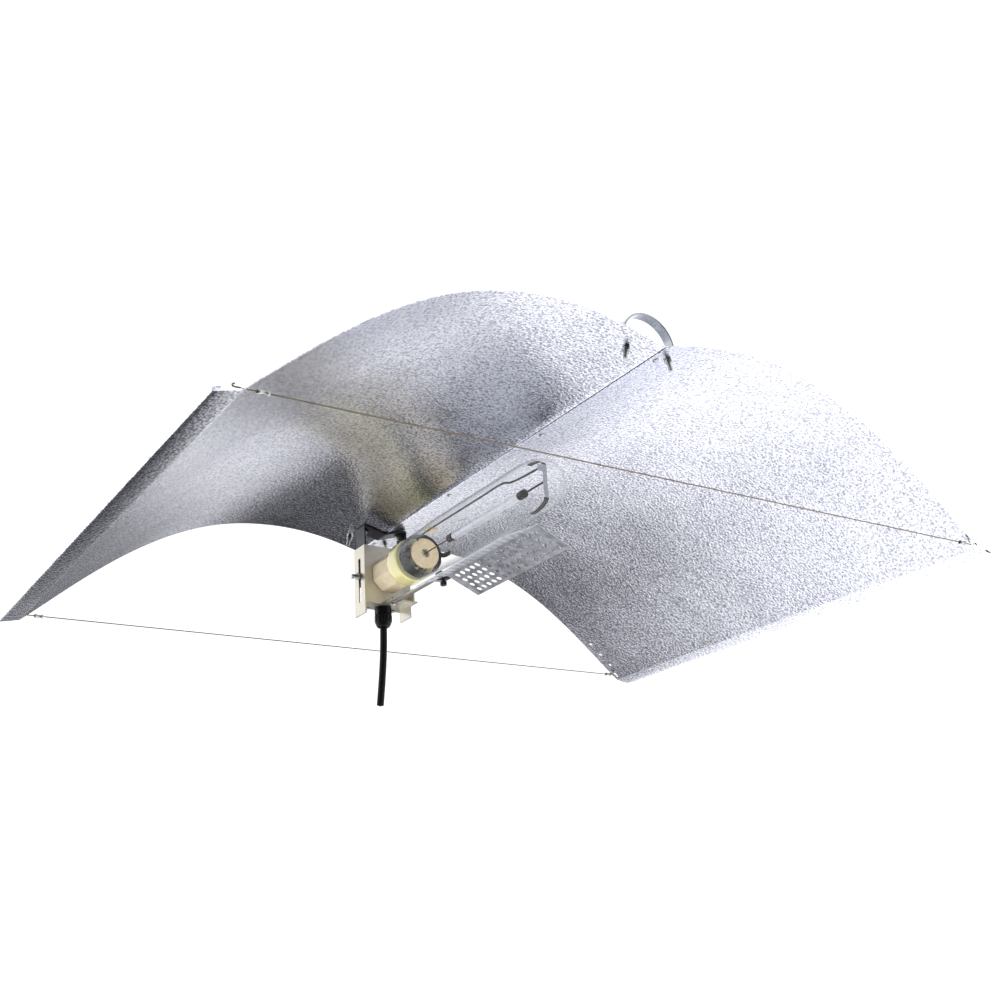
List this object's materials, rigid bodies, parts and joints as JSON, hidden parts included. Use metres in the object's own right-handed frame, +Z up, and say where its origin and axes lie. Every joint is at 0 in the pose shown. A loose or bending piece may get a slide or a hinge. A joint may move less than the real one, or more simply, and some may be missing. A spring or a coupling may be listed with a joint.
{
  "type": "grow lamp",
  "caption": "Hanging grow lamp: tubular bulb in a porcelain holder under a wide hammered-aluminium wing reflector held by tie wires.",
  "frame": {"origin": "point the lamp hangs from, midway between the undersides of the two hanging arches' crowns", "axes": "+X across the wings to the right one, +Y along the ridge to the lampholder's end, +Z up"},
  "size_m": [0.9902, 0.7, 0.2986],
  "materials": {
    "stucco_aluminium": "hammered, bright",
    "perforated_aluminium": "satin",
    "chromed_steel": "polished",
    "zinc_steel": "zinc plated",
    "zinc_plate": "yellowish zinc plated sheet",
    "dark_steel": "satin black",
    "wire_steel": "drawn",
    "glazed_porcelain": "glazed porcelain",
    "bare_porcelain": "unglazed porcelain",
    "cap_brass": "nickelled",
    "gland_nylon": "moulded",
    "cord_sheath": "matt",
    "lamp_glass": "clear",
    "stem_glass": "clear",
    "getter_coating": "black mirror film",
    "lamp_ceramic": "fired ceramic",
    "arc_tube_alumina": "translucent",
    "lamp_metal": "nickel, heat darkened"
  },
  "bodies": {
    "frame": {"left_sheet_root": "stucco_aluminium", "right_sheet_root": "stucco_aluminium", "ridge_rivet_1": "zinc_steel", "ridge_rivet_2": "zinc_steel", "ridge_rivet_3": "zinc_steel", "ridge_rivet_4": "zinc_steel", "front_arch": "chromed_steel", "rear_arch": "chromed_steel", "front_arch_left_bolt": "zinc_steel", "front_arch_left_nut": "zinc_steel", "front_arch_right_bolt": "zinc_steel", "front_arch_right_nut": "zinc_steel", "rear_arch_left_bolt": "zinc_steel", "rear_arch_left_nut": "zinc_steel", "rear_arch_right_bolt": "zinc_steel", "rear_arch_right_nut": "zinc_steel", "hanger_left_bolt": "zinc_steel", "hanger_left_nut": "zinc_steel", "hanger_right_bolt": "zinc_steel", "hanger_right_nut": "zinc_steel", "lamp_hanger": "dark_steel", "clamp_stud_left": "zinc_steel", "clamp_stud_right": "zinc_steel"},
    "left_wing": {"left_wing": "stucco_aluminium"},
    "right_wing": {"right_wing": "stucco_aluminium"},
    "front_wire": {"front_wire": "wire_steel", "front_ferrule_left": "wire_steel", "front_ferrule_right": "wire_steel"},
    "rear_wire": {"rear_wire": "wire_steel", "rear_ferrule_left": "wire_steel", "rear_ferrule_right": "wire_steel"},
    "carriage": {"carriage": "zinc_plate", "plate_screw_left": "zinc_steel", "plate_screw_right": "zinc_steel", "holder_shell": "glazed_porcelain", "holder_block": "bare_porcelain", "holder_contact": "cap_brass", "gland_body": "gland_nylon", "gland_nut": "gland_nylon", "cord": "cord_sheath", "spreader_arm": "zinc_steel", "arm_screw": "zinc_steel"},
    "wing_nut_left": {"wing_nut_left": "zinc_steel"},
    "wing_nut_right": {"wing_nut_right": "zinc_steel"},
    "lamp": {"lamp_cap": "cap_brass", "lamp_envelope": "lamp_glass", "lamp_getter_ring": "getter_coating", "lamp_stem": "stem_glass", "lamp_disc": "lamp_ceramic", "arc_tube": "arc_tube_alumina", "arc_collar_rear": "lamp_metal", "arc_collar_front": "lamp_metal", "lamp_frame": "lamp_metal", "frame_block": "lamp_ceramic", "dome_strap": "lamp_metal"},
    "spreader": {"spreader": "perforated_aluminium", "spreader_clip": "dark_steel", "clip_screw": "dark_steel"}
  },
  "joints": [
    {"name": "left_wing_flex", "type": "hinge", "parent": "frame", "child": "left_wing", "pos_m": [-0.14, 0, -0.0313], "axis": [0, -1, 0], "range_deg": [0, 10]},
    {"name": "right_wing_flex", "type": "hinge", "parent": "frame", "child": "right_wing", "pos_m": [0.14, 0, -0.0313], "axis": [0, 1, 0], "range_deg": [0, 10]},
    {"name": "front_wire_follow", "type": "slide", "parent": "frame", "child": "front_wire", "axis": [0, 0, 1], "range_m": [-0.0545, 0], "deforming": ["front_wire", "front_ferrule_left", "front_ferrule_right"]},
    {"name": "rear_wire_follow", "type": "slide", "parent": "frame", "child": "rear_wire", "axis": [0, 0, 1], "range_m": [-0.0545, 0], "deforming": ["rear_wire", "rear_ferrule_left", "rear_ferrule_right"]},
    {"name": "carriage_slide", "type": "slide", "parent": "frame", "child": "carriage", "axis": [0, 0, 1], "range_m": [-0.022, 0.022]},
    {"name": "wing_nut_left_turn", "type": "hinge", "parent": "frame", "child": "wing_nut_left", "pos_m": [-0.037, 0.277, -0.118], "axis": [-1, 0, 0], "continuous": true},
    {"name": "wing_nut_right_turn", "type": "hinge", "parent": "frame", "child": "wing_nut_right", "pos_m": [0.037, 0.277, -0.118], "axis": [1, 0, 0], "continuous": true},
    {"name": "lamp_withdraw", "type": "slide", "parent": "carriage", "child": "lamp", "axis": [0, -1, 0], "range_m": [0, 0.06]},
    {"name": "spreader_slide", "type": "slide", "parent": "carriage", "child": "spreader", "axis": [0, 1, 0], "range_m": [-0.03, 0.04]}
  ],
  "couplings": [
    {"joint": "right_wing_flex", "follows": "left_wing_flex", "ratio": 1},
    {"joint": "front_wire_follow", "follows": "left_wing_flex", "m_per_rad": -0.3077},
    {"joint": "rear_wire_follow", "follows": "left_wing_flex", "m_per_rad": -0.3077}
  ]
}
